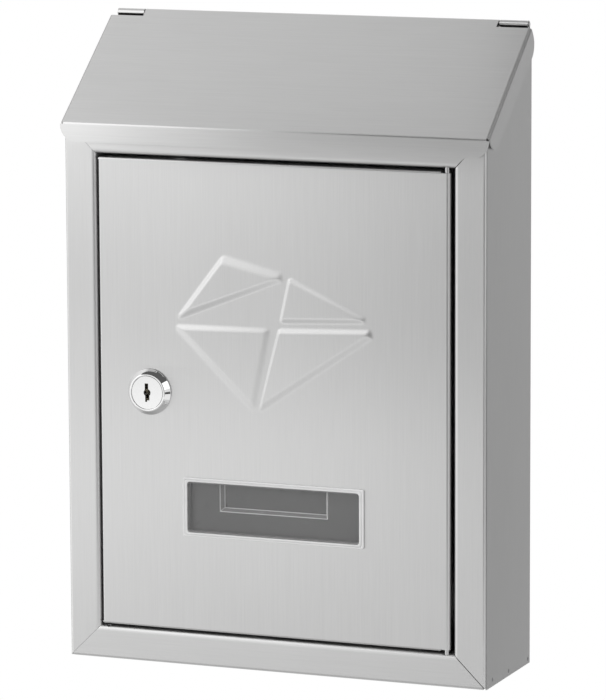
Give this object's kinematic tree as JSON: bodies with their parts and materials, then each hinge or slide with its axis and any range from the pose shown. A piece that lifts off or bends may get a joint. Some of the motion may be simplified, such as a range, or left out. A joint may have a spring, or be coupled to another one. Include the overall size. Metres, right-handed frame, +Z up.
{
  "type": "wall mounted mailbox",
  "caption": "Wall mounted mailbox folded from stainless sheet, with a sloping hinged lid, a lockable front door with an embossed envelope, and a name window.",
  "frame": {"origin": "the middle of the four wall holes, on the back face that lies against the wall", "axes": "+X to the right seen from the front, +Y into the wall, +Z up; the front faces -Y"},
  "size_m": [0.2182, 0.0684, 0.3114],
  "materials": {
    "stainless_body": "brushed stainless sheet, grain up and down",
    "stainless_lid": "brushed stainless sheet, grain across",
    "stainless_door": "brushed stainless sheet, grain up and down",
    "hinge_steel": "drawn stainless wire",
    "clear_plastic": "clear glossy moulding",
    "holder_plastic": "translucent grey moulding",
    "lock_chrome": "polished chrome plate",
    "zinc_plate": "dull zinc plate",
    "wafer_brass": "stamped brass"
  },
  "bodies": {
    "box": {"body_shell": "stainless_body", "floor_pan": "stainless_body", "top_rail": "stainless_body", "lid_hinge_wire": "hinge_steel"},
    "lid": {"lid": "stainless_lid"},
    "door": {"door_panel": "stainless_door", "door_hinge_rod": "hinge_steel", "name_window": "clear_plastic", "name_holder": "holder_plastic", "lock_housing": "lock_chrome", "lock_washer": "zinc_plate", "lock_nut": "zinc_plate"},
    "lock": {"lock_plug": "lock_chrome", "lock_wafers": "wafer_brass", "wafer_springs": "hinge_steel", "lock_cam": "zinc_plate", "cam_washer": "zinc_plate", "cam_screw": "zinc_plate"}
  },
  "joints": [
    {"name": "lid_hinge", "type": "hinge", "parent": "box", "child": "lid", "pos_m": [0, -0.0018, 0.1546], "axis": [-1, 0, 0], "range_deg": [0, 125]},
    {"name": "door_hinge", "type": "hinge", "parent": "box", "child": "door", "pos_m": [0.0875, -0.0629, -0.02345], "axis": [0, 0, 1], "range_deg": [0, 120]},
    {"name": "lock_turn", "type": "hinge", "parent": "door", "child": "lock", "pos_m": [-0.064, -0.0648, -0.0219], "axis": [0, 1, 0], "range_deg": [0, 90]}
  ]
}
